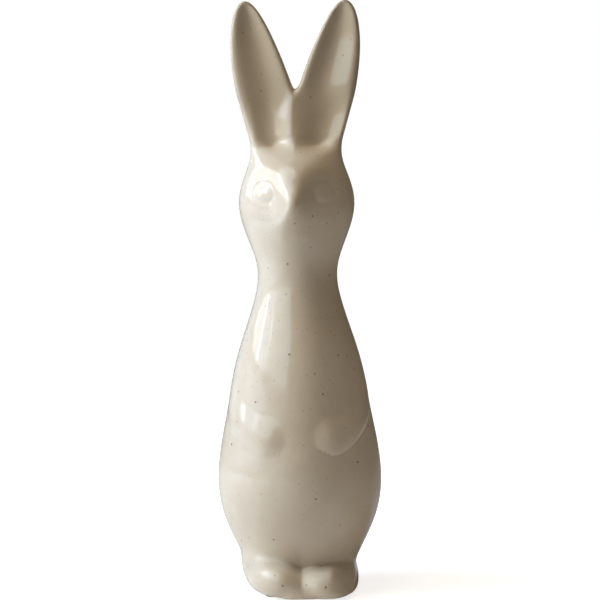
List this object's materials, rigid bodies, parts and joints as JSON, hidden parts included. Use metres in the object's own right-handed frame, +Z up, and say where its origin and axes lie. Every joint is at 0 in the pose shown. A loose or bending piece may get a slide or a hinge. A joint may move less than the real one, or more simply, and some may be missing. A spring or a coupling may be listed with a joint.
{
  "type": "rabbit figurine",
  "caption": "Tall standing rabbit ornament in speckled beige glazed stoneware, with upright leaf-shaped ears, arms in low relief and rounded feet on felt pads.",
  "frame": {"origin": "middle of the figurine's box in X and Y, on the surface that its felt pads stand on", "axes": "+Z up, the rabbit faces -Y, and its own left side is on +X"},
  "size_m": [0.0828, 0.0884, 0.3],
  "materials": {
    "glaze": "glossy, warm pale greige with sparse dark brown specks",
    "bisque": "unglazed fired clay, matt",
    "felt": "short felt"
  },
  "bodies": {
    "root": {"torso": "glaze", "head": "glaze", "ear_left": "glaze", "ear_right": "glaze", "arm_left": "glaze", "arm_right": "glaze", "foot_left": "glaze", "foot_right": "glaze", "tail": "glaze", "base_disc": "bisque", "pad_front_left": "felt", "pad_front_right": "felt", "pad_rear_left": "felt", "pad_rear_right": "felt"}
  },
  "joints": []
}
